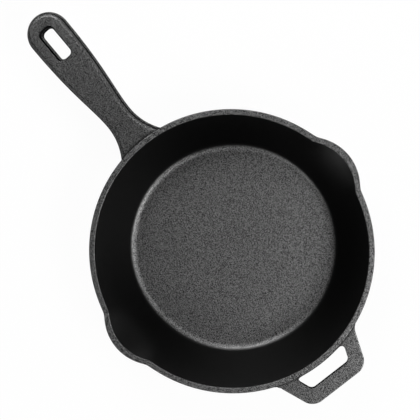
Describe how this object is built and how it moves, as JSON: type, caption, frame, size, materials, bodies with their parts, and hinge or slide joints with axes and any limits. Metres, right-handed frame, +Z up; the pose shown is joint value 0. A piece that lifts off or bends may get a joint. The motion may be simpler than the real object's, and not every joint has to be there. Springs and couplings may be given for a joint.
{
  "type": "cast iron skillet",
  "caption": "Round cast iron skillet with flared walls, a pour spout on each side, a long handle with a hanging slot and a slotted helper handle.",
  "frame": {"origin": "centre of the flat underside, where the skillet rests", "axes": "+Z up out of the pan, +X along the long handle, helper handle at -X, pour spouts at +Y and -Y"},
  "size_m": [0.4551, 0.287, 0.05],
  "materials": {
    "vessel_iron": "seasoned, pebbled cast grain, coarser on the cooking floor",
    "long_handle_iron": "seasoned, fine cast grain",
    "helper_handle_iron": "seasoned, fine cast grain with a few bright specks"
  },
  "bodies": {
    "root": {"vessel": "vessel_iron", "long_handle": "long_handle_iron", "helper_handle": "helper_handle_iron"}
  },
  "joints": []
}
